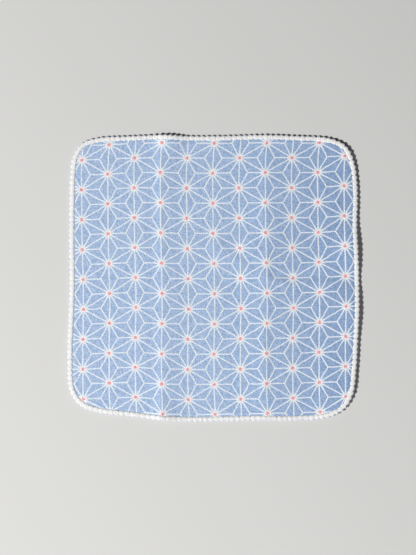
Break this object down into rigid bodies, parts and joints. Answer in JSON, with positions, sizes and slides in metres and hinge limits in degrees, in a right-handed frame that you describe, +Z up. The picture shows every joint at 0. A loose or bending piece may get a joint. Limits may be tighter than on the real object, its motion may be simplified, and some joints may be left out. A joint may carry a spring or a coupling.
{
  "type": "square cotton handkerchief with rounded corners and a picot overlocked edge",
  "caption": "Square printed cotton cloth with rounded corners and a toothed overlocked yarn edge, lying flat with soft ridges where it was kept folded.",
  "frame": {"origin": "on the surface the cloth lies on, under the middle of its outline's bounding box", "axes": "+Z up out of the printed face; +X to the right and +Y to the top of the cloth as it is seen from above, with the upright folds running along Y"},
  "size_m": [0.2516, 0.2474, 0.0048],
  "materials": {
    "printed_cotton": "soft matt woven cotton, printed on its upper face",
    "edging_yarn": "soft matt white yarn"
  },
  "bodies": {
    "root": {"cloth_panel": "printed_cotton", "picot_edging": "edging_yarn"}
  },
  "joints": []
}
